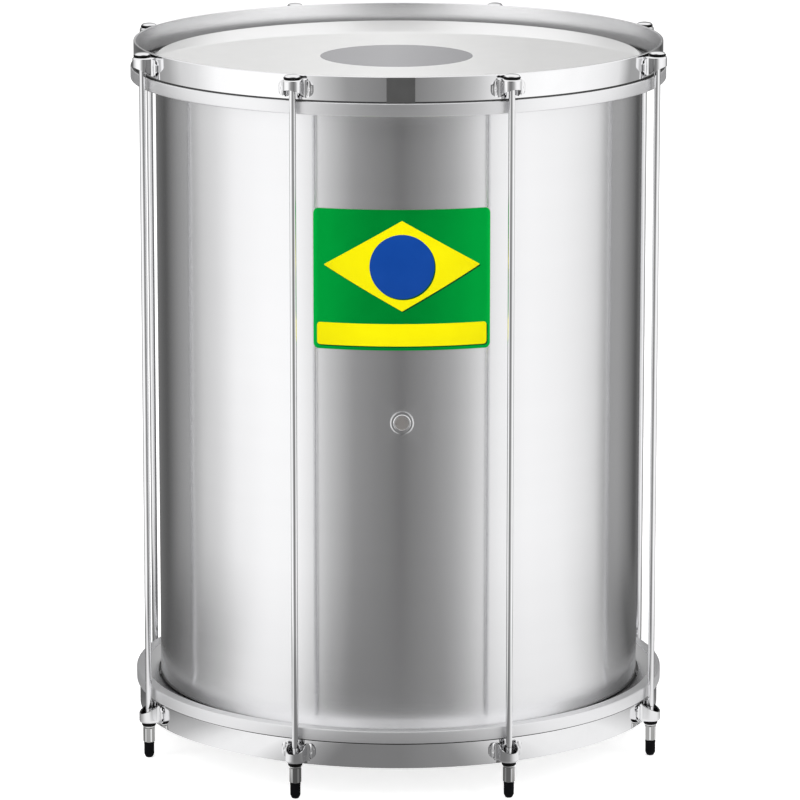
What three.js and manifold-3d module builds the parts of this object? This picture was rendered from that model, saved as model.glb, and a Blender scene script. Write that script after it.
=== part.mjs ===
// A surdo: an 18 by 24 inch aluminium samba drum with a head at each end. Two chromed
// counterhoops, joined by eight full-length tension rods, clamp the heads on the shell.
// A long hex nut with a rubber tip closes each rod, and the drum stands on the eight tips.
// Millimetres, +Z up. The origin is on the floor, below the middle of the drum.
import * as THREE from 'three';
import { mergeVertices } from 'three/addons/utils/BufferGeometryUtils.js';
import Module from 'manifold-3d';

const wasm = await Module();
wasm.setup();

// General
const clearance = 0.3;
const overrun = 4;
const ringSides = 64;
const smallSides = 12;
const cornerSteps = 2;
const lugCount = 8;

// Shell, with both edges turned in
const shellDiameter = 457.2;
const shellLength = 609.6;
const shellWall = 1.5;
const edgeChamfer = 2;
const edgeFlange = 9;
const edgeDip = 3;

// Vent eyelet, at the middle of the shell's length
const ventBore = 12.4;
const ventWall = 0.8;
const ventRimDiameter = 21.9;
const ventRimHeight = 1.3;
const ventRimEdge = 0.45;
const ventCurlDiameter = 19;
const ventCurlThickness = 1;
const ventSides = 16;

// Badge plate, on the front of the shell
const badgeWidth = 164;
const badgeHeight = 130;
const badgeThickness = 0.8;
const badgeCorner = 3;
const badgeLift = 131;

// Heads: a film, its collar, and the cast bead that a channel ring holds
const filmThickness = 0.4;
const collarDrop = 7.8;
const channelWidth = 10.7;
const channelHeight = 12.15;
const channelWall = 1.5;
const channelLip = 5.9;
const channelStep = 2;

// Counterhoops, and the lap where the upper one is joined
const hoopOffset = 20.3;
const hoopHeight = 23.2;
const hoopThickness = 2;
const hoopRounding = 0.4;
const channelReach = 3;
const lapWidth = 24;
const lapThickness = 1.2;
const lapMargin = 0.5;

// Lugs: a drawn cup over the rod, with a welded ear on each side
const rodStandoff = 8.2;
const lugRadius = 9;
const lugWall = 1.5;
const lugInset = 3.2;
const lugFrontHeight = 9;
const lugChamfer = 2;
const earReach = 16.5;
const earHeight = 15.5;
const earInset = 1.8;
const earCorner = 4;
const lugArcSteps = 6;

// Tension rods, with a domed head on a washer
const rodDiameter = 6;
const rodEndChamfer = 0.5;
const neckWidth = 6;
const neckLength = 4;
const headDiameter = 14.3;
const headHeight = 2.5;
const headEdge = 0.8;
const topWasherDiameter = 14;
const topWasherThickness = 1.5;

// Feet: washer, long hex nut and rubber tip
const footWasherDiameter = 13.3;
const footWasherThickness = 2.7;
const nutAcrossFlats = 10;
const nutHeight = 16;
const threadEngagement = 11.5;
const tipDiameter = 9.8;
const tipHeight = 14.6;
const tipRounding = 2;
const spigotLength = 4;

// Radii about the drum's axis
const shellRadius = shellDiameter / 2;
const crestRadius = shellRadius - edgeChamfer;
const hoopOuter = shellRadius + hoopOffset;
const hoopInner = hoopOuter - hoopThickness;
const channelOuter = hoopOuter + channelReach;
const channelInner = channelOuter - channelWidth;
const beadInner = channelInner + channelWall + clearance;
const beadOuter = channelOuter - channelWall - clearance;
const rodCircle = hoopOuter + rodStandoff;
const lugSeat = hoopOuter + clearance;

// Heights above the middle of the shell; the lower half is the same, upside down
const crest = shellLength / 2;
const filmUnder = crest + clearance;
const filmTop = filmUnder + filmThickness;
const channelTop = crest - collarDrop;
const channelBase = channelTop - channelHeight;
const hoopBase = channelTop + clearance;
const hoopTop = hoopBase + hoopHeight;
const lugTop = hoopTop - lugInset;
const earTop = lugTop - earInset;
const earBottom = earTop - earHeight;
const washerBase = lugTop + clearance;
const headBase = washerBase + topWasherThickness;
const nutBase = washerBase + footWasherThickness + clearance;
const rodEnd = nutBase + threadEngagement;
const tipBase = nutBase + nutHeight + clearance;
const spigotEnd = tipBase - spigotLength;
const floorDepth = tipBase + tipHeight;

// Round holes are polygons, so they are drawn a little larger to keep their clearance
const roundHole = (radius) => (radius + clearance) / Math.cos(Math.PI / smallSides);
const rodHole = roundHole(rodDiameter / 2);

// Colour, roughness and metalness of each finish
const finishes = {
  shell: [0xc4c4c6, 0.35, 0.9],
  chrome: [0xd8d8da, 0.08, 1],
  channel: [0xb0b0b3, 0.4, 0.9],
  film: [0xe2e2e0, 0.25, 0],
  rubber: [0x141414, 0.7, 0],
  badge: [0x009b3c, 0.3, 0],
};

function piece(name, geometry, finish) {
  const [color, roughness, metalness] = finishes[finish];
  const material = new THREE.MeshStandardMaterial({ color, roughness, metalness });
  const mesh = new THREE.Mesh(geometry, material);
  mesh.name = name;
  return mesh;
}

// A body turned about Z from a profile of [radius, height] points
function turned(profile, sides) {
  const points = profile.map(([radius, height]) => new THREE.Vector2(radius, height));
  if (THREE.ShapeUtils.area(points) < 0) points.reverse();
  if (points[0].x > 0) points.push(points[0].clone());
  return new THREE.LatheGeometry(points, sides).rotateX(Math.PI / 2);
}

// The same profile for the lower end of the drum
const lower = (profile) => profile.map(([radius, height]) => [radius, -height]);

function prism(outline, from, to, holes = []) {
  const shape = new THREE.Shape(outline);
  shape.holes = holes.map((hole) => new THREE.Path(hole));
  const options = { depth: to - from, bevelEnabled: false };
  return new THREE.ExtrudeGeometry(shape, options).translate(0, 0, from);
}

function polygon(radius, sides) {
  const point = (_, i) => {
    const angle = (2 * Math.PI * (i + 0.5)) / sides;
    return new THREE.Vector2(radius * Math.cos(angle), radius * Math.sin(angle));
  };
  return Array.from({ length: sides }, point);
}

// Points on an arc about (x, 0), counted from +X
function arc(x, radius, from, to, steps) {
  const point = (_, i) => {
    const angle = from + ((to - from) * i) / steps;
    return new THREE.Vector2(x + radius * Math.cos(angle), radius * Math.sin(angle));
  };
  return Array.from({ length: steps + 1 }, point);
}

// A strip of a tube about Z, centred on +X
function arcBand(inner, outer, halfWidth, from, to) {
  const half = halfWidth / inner;
  const steps = Math.ceil((2 * half) / (Math.PI / ringSides));
  const outline = [...arc(0, outer, -half, half, steps), ...arc(0, inner, half, -half, steps)];
  return prism(outline, from, to);
}

// A rounded rectangle that stands across X, to trim a strip of tube
function roundedPlate(width, height, corner, middle, from, to) {
  const [w, h] = [width / 2 - corner, height / 2 - corner];
  const shape = new THREE.Shape();
  shape.absarc(w, h, corner, 0, Math.PI / 2);
  shape.absarc(-w, h, corner, Math.PI / 2, Math.PI);
  shape.absarc(-w, -h, corner, Math.PI, 1.5 * Math.PI);
  shape.absarc(w, -h, corner, 1.5 * Math.PI, 2 * Math.PI);
  const options = { depth: to - from, bevelEnabled: false, curveSegments: cornerSteps };
  const plate = new THREE.ExtrudeGeometry(shape, options);
  return plate.rotateX(Math.PI / 2).rotateZ(Math.PI / 2).translate(from, 0, middle);
}

function solidOf(geometry) {
  const bare = geometry.clone();
  bare.deleteAttribute('normal');
  bare.deleteAttribute('uv');
  const merged = mergeVertices(bare);
  const corners = merged.index.array;
  const kept = [];
  for (let i = 0; i < corners.length; i += 3) {
    const [a, b, c] = corners.slice(i, i + 3);
    if (a !== b && b !== c && c !== a) kept.push(a, b, c);
  }
  return new wasm.Manifold(new wasm.Mesh({
    numProp: 3,
    vertProperties: merged.attributes.position.array,
    triVerts: Uint32Array.from(kept),
  }));
}

function geometryOf(solid) {
  const mesh = solid.getMesh();
  const geometry = new THREE.BufferGeometry();
  geometry.setAttribute('position', new THREE.BufferAttribute(mesh.vertProperties, 3));
  geometry.setIndex(new THREE.BufferAttribute(mesh.triVerts, 1));
  return geometry;
}

// Shell: each edge is chamfered to a crest for the film, then turned in
function shellGeometry() {
  const end = [
    [shellRadius, crest - edgeChamfer],
    [crestRadius, crest],
    [crestRadius - edgeFlange, crest - edgeDip],
    [crestRadius - edgeFlange, crest - edgeDip - shellWall],
    [shellRadius - shellWall, crest - edgeChamfer - shellWall],
  ];
  const tube = turned([...end, ...lower(end).reverse()], ringSides);
  const holeRadius = ventBore / 2 + ventWall + clearance;
  const hole = new THREE.CylinderGeometry(holeRadius, holeRadius, 2 * overrun, ventSides);
  hole.translate(0, -(shellRadius - shellWall / 2), 0);
  return geometryOf(solidOf(tube).subtract(solidOf(hole)));
}

// Eyelet: heights run outward from the shell's outer face
function ventGeometry() {
  const bore = ventBore / 2;
  const barrel = bore + ventWall;
  const rim = ventRimDiameter / 2;
  const curl = ventCurlDiameter / 2;
  const sag = (curl * curl) / shellDiameter;
  const curlFace = -(shellWall + sag + clearance);
  const rimFace = clearance + ventRimHeight;
  const eyelet = turned([
    [bore, curlFace - ventCurlThickness],
    [curl, curlFace - ventCurlThickness],
    [curl, curlFace],
    [barrel, curlFace],
    [barrel, clearance],
    [rim, clearance],
    [rim, clearance + ventRimEdge],
    [rim - ventRimHeight, rimFace],
    [barrel, rimFace],
    [bore, rimFace - ventWall],
  ], ventSides);
  return eyelet.rotateX(Math.PI / 2).translate(0, -shellRadius, 0);
}

// Badge: a plate curved to the shell
function badgeGeometry() {
  const inner = shellRadius + clearance;
  const outer = inner + badgeThickness;
  const halfAngle = badgeWidth / 2 / outer;
  const low = badgeLift - badgeHeight / 2 - overrun;
  const high = badgeLift + badgeHeight / 2 + overrun;
  const band = arcBand(inner, outer, badgeWidth / 2 + overrun, low, high);
  const chord = 2 * outer * Math.sin(halfAngle);
  const plate = roundedPlate(chord, badgeHeight, badgeCorner, badgeLift, 0, outer + overrun);
  const badge = geometryOf(solidOf(band).intersect(solidOf(plate)));
  return badge.rotateZ(-Math.PI / 2);
}

const beadProfile = [
  [beadInner, channelBase + channelWall + clearance],
  [beadOuter, channelBase + channelWall + clearance],
  [beadOuter, channelTop - channelWall - clearance],
  [beadInner + 2 * filmThickness, channelTop - channelWall - clearance],
];

const headProfile = [
  [0, filmUnder],
  [crestRadius + clearance, filmUnder],
  [shellRadius + clearance, crest - edgeChamfer + clearance],
  [beadInner, channelTop - filmThickness],
  ...beadProfile,
  [beadInner + filmThickness, channelTop],
  [shellRadius + clearance + filmThickness, crest - edgeChamfer + clearance + filmThickness],
  [crestRadius + clearance, filmTop],
  [0, filmTop],
];

const channelProfile = [
  [channelInner, channelBase],
  [channelOuter, channelBase],
  [channelOuter, channelTop],
  [channelOuter - channelLip, channelTop],
  [channelOuter - channelLip, channelTop - channelWall],
  [channelOuter - channelWall, channelTop - channelWall],
  [channelOuter - channelWall, channelBase + channelWall],
  [channelInner + channelWall, channelBase + channelWall],
  [channelInner + channelWall, channelTop - channelStep],
  [channelInner, channelTop - channelStep],
];

const hoopProfile = [
  [hoopInner, hoopBase],
  [hoopOuter, hoopBase],
  [hoopOuter, hoopTop - hoopRounding],
  [hoopOuter - hoopRounding, hoopTop],
  [hoopInner + hoopRounding, hoopTop],
  [hoopInner, hoopTop - hoopRounding],
];

// Upper counterhoop: its ends overlap at the front, which shows as a raised lap
function lappedHoopGeometry() {
  const band = turned(hoopProfile, ringSides);
  const middle = hoopOuter - hoopThickness / 2;
  const low = hoopBase + lapMargin;
  const high = hoopTop - lapMargin - hoopRounding;
  const lap = arcBand(middle, hoopOuter + lapThickness, lapWidth / 2, low, high);
  return geometryOf(solidOf(band).add(solidOf(lap.rotateZ(-Math.PI / 2))));
}

// Outline of a lug's cup: half round about the rod, and open towards the drum
function cupOutline(back, radius) {
  const quarter = Math.PI / 2;
  return [
    new THREE.Vector2(back, -radius),
    ...arc(rodCircle, radius, -quarter, quarter, lugArcSteps),
    new THREE.Vector2(back, radius),
  ];
}

// Lug: drawn along +X, with its closed end up
function lugGeometry(hole) {
  const back = hoopOuter - overrun;
  const cup = new THREE.ExtrudeGeometry(new THREE.Shape(cupOutline(back, lugRadius)), {
    depth: lugTop - earBottom,
    bevelThickness: lugChamfer,
    bevelSize: lugChamfer,
    bevelOffset: -lugChamfer,
    bevelSegments: 1,
  }).translate(0, 0, earBottom - lugChamfer);
  const earFace = lugSeat + lugWall;
  const reach = earReach + overrun;
  const band = arcBand(lugSeat, earFace, reach, earBottom, earTop);
  const middle = (earBottom + earTop) / 2;
  const plate = roundedPlate(2 * earReach, earHeight, earCorner, middle, back, earFace + overrun);
  const ears = solidOf(band).intersect(solidOf(plate));
  const hollow = cupOutline(back - overrun, lugRadius - lugWall);
  const cavity = prism(hollow, earBottom - 2 * lugChamfer, lugTop - lugWall);
  const front = rodCircle + lugRadius;
  const slope = (lugTop - lugFrontHeight - earBottom) / (front - earFace);
  const mouth = new THREE.ExtrudeGeometry(new THREE.Shape([
    new THREE.Vector2(back, earBottom + slope * (back - earFace)),
    new THREE.Vector2(back, earBottom - overrun - lugChamfer),
    new THREE.Vector2(front + overrun, earBottom - overrun - lugChamfer),
    new THREE.Vector2(front + overrun, lugTop - lugFrontHeight + slope * overrun),
  ]), { depth: 2 * (lugRadius + overrun), bevelEnabled: false });
  mouth.rotateX(Math.PI / 2).translate(0, lugRadius + overrun, 0);
  const hoopSpace = arcBand(back - 2 * overrun, lugSeat, reach, earBottom - overrun, hoopTop);
  const bore = prism(hole, lugTop - lugWall - overrun, lugTop + overrun).translate(rodCircle, 0, 0);
  const shaped = solidOf(cup).subtract(solidOf(mouth)).subtract(solidOf(hoopSpace));
  return geometryOf(shaped.add(ears).subtract(solidOf(cavity)).subtract(solidOf(bore)));
}

const square = 4;
const hexagon = 6;
const neckHole = polygon(neckWidth / Math.SQRT2 + clearance * Math.SQRT2, square);
const topLug = lugGeometry(neckHole);
const bottomLug = lugGeometry(polygon(rodHole, smallSides));

// Rod: round, with a square neck below its domed head, and in one with its washer
function rodGeometry() {
  const radius = rodDiameter / 2;
  const head = headDiameter / 2;
  const dome = headHeight - headEdge;
  const shaft = turned([
    [0, -rodEnd],
    [radius - rodEndChamfer, -rodEnd],
    [radius, -rodEnd + rodEndChamfer],
    [radius, washerBase],
    [topWasherDiameter / 2, washerBase],
    [topWasherDiameter / 2, headBase],
    [head, headBase],
    [head, headBase + headEdge],
    [head * Math.cos(Math.PI / 4), headBase + headEdge + dome * Math.sin(Math.PI / 4)],
    [0, headBase + headHeight],
  ], smallSides);
  const neck = prism(polygon(neckWidth / Math.SQRT2, square), headBase - neckLength, headBase);
  return geometryOf(solidOf(shaft).add(solidOf(neck)));
}

const rod = rodGeometry();

const footWasher = turned(lower([
  [rodHole, washerBase],
  [footWasherDiameter / 2, washerBase],
  [footWasherDiameter / 2, washerBase + footWasherThickness],
  [rodHole, washerBase + footWasherThickness],
]), smallSides);

const nutOutline = polygon(nutAcrossFlats / 2 / Math.cos(Math.PI / hexagon), hexagon);
const nutHole = polygon(rodHole, smallSides);
const footNut = prism(nutOutline, -nutBase - nutHeight, -nutBase, [nutHole]);

const tipRadius = tipDiameter / 2;
const tipShoulder = tipRounding * (1 - Math.SQRT1_2);
const footTip = turned(lower([
  [0, spigotEnd],
  [rodDiameter / 2, spigotEnd],
  [rodDiameter / 2, tipBase],
  [tipRadius, tipBase],
  [tipRadius, floorDepth - tipRounding],
  [tipRadius - tipShoulder, floorDepth - tipShoulder],
  [tipRadius - tipRounding, floorDepth],
  [0, floorDepth],
]), smallSides);

// Angle of each rod from +X; the first two stand either side of the front, which is -Y
function spokeAngle(i) {
  return -Math.PI / 2 + (2 * Math.PI * (i + 0.5)) / lugCount;
}

// Everything that one tension rod holds, drawn along +X
function spoke(i) {
  const number = i + 1;
  const group = new THREE.Group();
  const lowerLug = piece(`bottom_lug_${number}`, bottomLug, 'chrome');
  lowerLug.rotation.x = Math.PI;
  group.add(piece(`top_lug_${number}`, topLug, 'chrome'), lowerLug);
  const onAxis = new THREE.Group();
  onAxis.position.x = rodCircle;
  onAxis.add(
    piece(`tension_rod_${number}`, rod, 'chrome'),
    piece(`foot_washer_${number}`, footWasher, 'rubber'),
    piece(`foot_nut_${number}`, footNut, 'chrome'),
    piece(`foot_tip_${number}`, footTip, 'rubber'),
  );
  group.add(onAxis);
  group.rotation.z = spokeAngle(i);
  return group;
}

const surdo = new THREE.Group();
surdo.name = 'surdo';
surdo.position.z = floorDepth;
surdo.add(
  piece('shell', shellGeometry(), 'shell'),
  piece('vent_eyelet', ventGeometry(), 'chrome'),
  piece('badge_plate', badgeGeometry(), 'badge'),
  piece('batter_head', turned(headProfile, ringSides), 'film'),
  piece('resonant_head', turned(lower(headProfile), ringSides), 'film'),
  piece('top_flesh_hoop', turned(channelProfile, ringSides), 'channel'),
  piece('bottom_flesh_hoop', turned(lower(channelProfile), ringSides), 'channel'),
  piece('top_hoop', lappedHoopGeometry(), 'chrome'),
  piece('bottom_hoop', turned(lower(hoopProfile), ringSides), 'chrome'),
);
for (let i = 0; i < lugCount; i += 1) surdo.add(spoke(i));

export default surdo;
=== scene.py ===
"""Looks of the surdo: every piece of the drum as a detailed mesh, its finishes, and the studio.

Shapes are written in millimetres. A height is counted from the middle of the drum, which is
MIDDLE above the floor, and the front of the drum faces -Y.
"""
from math import atan2, ceil, cos, pi, radians, sin, sqrt, tan, tau

import bmesh
import bpy
from mathutils import Matrix, Vector


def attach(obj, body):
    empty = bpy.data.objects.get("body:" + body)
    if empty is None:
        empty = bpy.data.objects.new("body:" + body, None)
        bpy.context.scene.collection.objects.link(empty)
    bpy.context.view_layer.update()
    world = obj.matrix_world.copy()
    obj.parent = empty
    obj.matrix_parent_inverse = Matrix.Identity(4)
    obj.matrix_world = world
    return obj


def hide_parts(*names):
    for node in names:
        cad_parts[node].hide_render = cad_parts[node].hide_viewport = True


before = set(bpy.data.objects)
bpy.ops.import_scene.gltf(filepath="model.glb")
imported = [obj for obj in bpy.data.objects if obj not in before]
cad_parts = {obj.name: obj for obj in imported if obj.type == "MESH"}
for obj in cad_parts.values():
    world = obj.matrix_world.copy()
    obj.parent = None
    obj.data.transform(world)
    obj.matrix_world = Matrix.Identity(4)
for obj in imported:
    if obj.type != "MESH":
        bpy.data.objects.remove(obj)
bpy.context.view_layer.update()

MM = 0.001
MIDDLE = 351.5
SPOKES = 8
CLEARANCE = 0.3          # the gap that neighbouring pieces keep

# Radii of the drum
SHELL = 228.6
SHELL_WALL = 1.5
CREST = 226.6
HOOP_OUTER = 248.9
HOOP_INNER = 246.9
CHANNEL_OUTER = 251.9
CHANNEL_INNER = 241.2
BEAD_INNER = 243.0
BEAD_OUTER = 250.1
ROD_CIRCLE = 257.1

# Heights from the middle of the drum
CREST_TOP = 304.8
EDGE_CHAMFER = 2.0
FILM_UNDER = 305.1
FILM_TOP = 305.5
CHANNEL_TOP = 297.0
CHANNEL_BASE = 284.85
HOOP_BASE = 297.3
HOOP_TOP = 320.5
LUG_TOP = 317.3
EAR_TOP = 315.5
EAR_BOTTOM = 300.0
WASHER_BASE = 317.6
HEAD_BASE = 319.1
NUT_BASE = 320.6
ROD_END = 332.1
TIP_BASE = 336.9

# How finely round things are divided
RING_SIDES = 256
SMALL_SIDES = 48
ARC_STEPS = 5


# Outlines

def rounded(corners, steps=ARC_STEPS):
    """A closed outline from corners (x, y, radius), each rounded by an arc of its radius."""
    points = []
    count = len(corners)
    for i, (x, y, radius) in enumerate(corners):
        here = Vector((x, y))
        if not radius:
            points.append(here)
            continue
        before = (Vector(corners[i - 1][:2]) - here).normalized()
        after = (Vector(corners[(i + 1) % count][:2]) - here).normalized()
        half = before.angle(after) / 2
        centre = here + (before + after).normalized() * radius / sin(half)
        start = (here + before * radius / tan(half) - centre).normalized()
        end = (here + after * radius / tan(half) - centre).normalized()
        points += [centre + radius * start.slerp(end, k / steps) for k in range(steps + 1)]
    return [tuple(p) for p in points]


def lower(profile):
    """The same profile at the lower end of the drum."""
    return [(radius, -height) for radius, height in profile]


# Meshes

def turn(bm, profile, sides, loop=True):
    """Turns a profile of (radius, height) points about Z. A loop joins its last point to its first."""
    rings = []
    for radius, height in profile:
        if radius < 1e-6:
            rings.append([bm.verts.new((0, 0, height))])
            continue
        angles = [tau * i / sides for i in range(sides)]
        rings.append([bm.verts.new((radius * cos(a), radius * sin(a), height)) for a in angles])
    join_rings(bm, rings + rings[:1] if loop else rings)


def join_rings(bm, rings):
    """Fills the strips between rings of vertices. A ring of one vertex is a pole."""
    for one, two in zip(rings, rings[1:]):
        if len(one) == len(two) == 1:
            continue
        for i in range(max(len(one), len(two))):
            j = (i + 1) % max(len(one), len(two))
            if len(one) == 1:
                corners = (one[0], two[i], two[j])
            elif len(two) == 1:
                corners = (one[i], one[j], two[0])
            else:
                corners = (one[i], one[j], two[j], two[i])
            bm.faces.new(corners)


def mesh_of(name, bm, sharp=35):
    """A smooth mesh in metres, with the edges that turn more than sharp degrees kept crisp."""
    bmesh.ops.recalc_face_normals(bm, faces=bm.faces)
    bmesh.ops.scale(bm, vec=(MM, MM, MM), verts=bm.verts)
    limit = radians(sharp)
    for face in bm.faces:
        face.smooth = True
    for edge in bm.edges:
        edge.smooth = len(edge.link_faces) == 2 and edge.calc_face_angle() < limit
    mesh = bpy.data.meshes.new(name)
    bm.to_mesh(mesh)
    bm.free()
    return mesh


def turned(name, profile, sides=RING_SIDES, loop=True):
    bm = bmesh.new()
    turn(bm, profile, sides, loop)
    return mesh_of(name, bm)


def piece(name, mesh, finish, body, node=None, place=Matrix()):
    """One visible piece: rides on a body, and stands for a CAD node where one is named."""
    made = bpy.data.objects.new(name, mesh)
    bpy.context.scene.collection.objects.link(made)
    if not mesh.materials:
        mesh.materials.append(finish)
    made.matrix_world = Matrix.Translation((0, 0, MIDDLE * MM)) @ place
    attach(made, body)
    if node:
        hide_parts(node)
    return made


# Nodes of the finishes

def add(tree, kind, inputs=None, **settings):
    """A node with its settings made, and its inputs linked or set."""
    node = tree.nodes.new(kind)
    for key, value in settings.items():
        setattr(node, key, value)
    for key, value in (inputs or {}).items():
        if isinstance(value, bpy.types.NodeSocket):
            tree.links.new(value, node.inputs[key])
        else:
            node.inputs[key].default_value = value
    return node


def maths(tree, operation, *values):
    """The result of one step of arithmetic."""
    return add(tree, "ShaderNodeMath", dict(enumerate(values)), operation=operation).outputs[0]


def grain(tree, scale, detail=3.0, warp=0.0):
    """Noise from 0 to 1. The scale is a count per metre along each axis."""
    place = add(tree, "ShaderNodeTexCoord").outputs["Object"]
    stretched = add(tree, "ShaderNodeMapping", {"Vector": place, "Scale": scale}).outputs[0]
    inputs = {"Vector": stretched, "Scale": 1.0, "Detail": detail, "Distortion": warp}
    return add(tree, "ShaderNodeTexNoise", inputs).outputs["Fac"]


def spread(tree, value, low, high):
    """Carries noise, which mostly lies from 0.3 to 0.7, to the range from low to high."""
    inputs = {"Value": value, "From Min": 0.3, "From Max": 0.7, "To Min": low, "To Max": high}
    return add(tree, "ShaderNodeMapRange", inputs).outputs["Result"]


def tint(tree, value, dark, light):
    """Blends two colours by a value."""
    node = add(tree, "ShaderNodeMix", {"Factor": value}, data_type="RGBA")
    node.inputs[6].default_value = (*dark, 1)
    node.inputs[7].default_value = (*light, 1)
    return node.outputs[2]


def relief(tree, value, strength, depth):
    """Bump from a value; the depth is in millimetres."""
    inputs = {"Height": value, "Strength": strength, "Distance": depth * MM}
    return add(tree, "ShaderNodeBump", inputs).outputs["Normal"]


def finish(name, **constants):
    """A material with its shader's fixed values set. Returns it, its tree and its shader."""
    material = bpy.data.materials.new(name)
    material.use_nodes = True
    tree = material.node_tree
    shader = tree.nodes["Principled BSDF"]
    for key, value in constants.items():
        shader.inputs[key.replace("_", " ")].default_value = value
    return material, tree, shader


def link(tree, shader, **sockets):
    for key, value in sockets.items():
        tree.links.new(value, shader.inputs[key.replace("_", " ")])


# Noise counts per metre along each axis
STREAKS = (3.0, 3.0, 2400.0)
BANDS = (2.0, 2.0, 60.0)
CLOUDS = (9.0, 9.0, 7.0)
HAZE = (60.0,) * 3
WAVES = (35.0,) * 3
MOTTLE = (45.0,) * 3
STREAK_SHARE = 0.6
STREAK_ROUGHNESS = 0.02


def brushed(name, dark, light, rough, anisotropic):
    """Aluminium brushed round the drum's girth: fine streaks, with slow clouds of wear."""
    constants = {"Metallic": 1.0, "Anisotropic": anisotropic, "Anisotropic Rotation": 0.25}
    material, tree, shader = finish(name, **constants)
    streaks = grain(tree, STREAKS, detail=4.0)
    bands = grain(tree, BANDS, detail=3.0)
    clouds = grain(tree, CLOUDS, detail=2.0)
    mixed = maths(tree, "ADD", maths(tree, "MULTIPLY", streaks, STREAK_SHARE),
                  maths(tree, "MULTIPLY", bands, 1 - STREAK_SHARE))
    scatter = spread(tree, streaks, -STREAK_ROUGHNESS, STREAK_ROUGHNESS)
    worn = maths(tree, "ADD", scatter, spread(tree, clouds, *rough))
    tangent = add(tree, "ShaderNodeTangent", direction_type="RADIAL", axis="Z").outputs[0]
    link(tree, shader, Base_Color=tint(tree, mixed, dark, light), Roughness=worn,
         Normal=relief(tree, streaks, strength=0.08, depth=0.01), Tangent=tangent)
    return material


def chromed(name, dark, light, rough):
    """Bright plating, with faint waves, haze and specks."""
    material, tree, shader = finish(name, Metallic=1.0)
    haze = grain(tree, HAZE, detail=5.0, warp=0.4)
    waves = grain(tree, WAVES, detail=1.0)
    link(tree, shader, Base_Color=tint(tree, haze, dark, light),
         Roughness=spread(tree, haze, *rough),
         Normal=relief(tree, waves, strength=0.25, depth=0.05))
    return material


def plastic(name, dark, light, rough, fine, depth, **constants):
    """A plain coloured surface: mottled colour and sheen, and a fine texture."""
    material, tree, shader = finish(name, **constants)
    mottle = grain(tree, MOTTLE, detail=4.0, warp=0.3)
    texture = grain(tree, (fine,) * 3, detail=3.0)
    link(tree, shader, Base_Color=tint(tree, mottle, dark, light),
         Roughness=spread(tree, mottle, *rough),
         Normal=relief(tree, texture, strength=0.3, depth=depth))
    return material


def position(tree):
    """A point's X, Y and Z on its piece, in metres."""
    place = add(tree, "ShaderNodeTexCoord").outputs["Object"]
    return add(tree, "ShaderNodeSeparateXYZ", {0: place}).outputs


def from_axis(tree):
    """Distance from a piece's own upright axis, in millimetres."""
    place = add(tree, "ShaderNodeTexCoord").outputs["Object"]
    flat = add(tree, "ShaderNodeVectorMath", {0: place, 1: (1, 1, 0)}, operation="MULTIPLY")
    length = add(tree, "ShaderNodeVectorMath", {0: flat.outputs[0]}, operation="LENGTH")
    return maths(tree, "MULTIPLY", length.outputs["Value"], 1 / MM)


def recolour(material, mask_of, colour):
    """Paints a colour over a material's own where a mask, built from the tree, is 1."""
    tree = material.node_tree
    shader = tree.nodes["Principled BSDF"]
    under = shader.inputs["Base Color"].links[0].from_socket
    node = add(tree, "ShaderNodeMix", {"Factor": mask_of(tree), 6: under}, data_type="RGBA")
    node.inputs[7].default_value = (*colour, 1)
    tree.links.new(node.outputs[2], shader.inputs["Base Color"])
    return material


def step_up(tree, value, start, end):
    """0 below start, 1 above end, and smooth between them."""
    inputs = {"Value": value, "From Min": start, "From Max": end}
    node = add(tree, "ShaderNodeMapRange", inputs, interpolation_type="SMOOTHSTEP")
    return node.outputs["Result"]


def roughen(material, mask_of, rough):
    """Dulls a material where a mask, built from the tree, is 1."""
    tree = material.node_tree
    shader = tree.nodes["Principled BSDF"]
    under = shader.inputs["Roughness"].links[0].from_socket
    node = add(tree, "ShaderNodeMix", {"Factor": mask_of(tree), 2: under, 3: rough},
               data_type="FLOAT")
    tree.links.new(node.outputs[0], shader.inputs["Roughness"])
    return material


# Where each mask goes from 0 to 1: distances from the axis are in millimetres, heights in metres
COLLAR_SHADE_FADE = (229.2, 230.8)
BORE_FADE = (247.6, 247.2)
GAP_SHADE_FADE = (0.2896, 0.2904)
RIM_SHADE_START, RIM_SHADE_END = (228.0, 228.8), (233.5, 232.0)
LIP_FADE = (242.6, 241.6)
BARE_FADE = (228.1, 227.7)
JOINT_SHADE_FADE, JOINT_SHADE_REACH = (0.2963, 0.2967), (251.6, 251.0)
LAST_EDGE_SHADE_FADE = (-0.2959, -0.2963)
CORNER_HIGHLIGHT_FADE = (5.3, 5.5)
POCKET_SHADE_REACH = (0.0085, 0.0081)      # from the rod's axis, in metres
POCKET_SHADE_TOP = (0.3166, 0.3162)


def collar_shade_mask(tree):
    """Painted shade: the film darkens past the bearing edge, over its collar and bead."""
    return step_up(tree, from_axis(tree), *COLLAR_SHADE_FADE)


def bore_mask(tree):
    """The inner side of a hoop, which is less polished."""
    return step_up(tree, from_axis(tree), *BORE_FADE)


def gap_shade_mask(tree):
    """Painted shade on the ends of the shell inside the channels, which show as a dark line through
    the gap.
    """
    return step_up(tree, maths(tree, "ABSOLUTE", position(tree)["Z"]), *GAP_SHADE_FADE)


def rim_shade_mask(tree):
    """Painted shade on a band of the film's collar beside the shell."""
    radius = from_axis(tree)
    return maths(tree, "MULTIPLY", step_up(tree, radius, *RIM_SHADE_START),
                 step_up(tree, radius, *RIM_SHADE_END))


def lip_mask(tree):
    """The flange of the lower channel, which is smoother than its outer side."""
    return step_up(tree, from_axis(tree), *LIP_FADE)


def bare_mask(tree):
    """The inner side of the shell, which isn't brushed."""
    return step_up(tree, from_axis(tree), *BARE_FADE)


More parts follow.
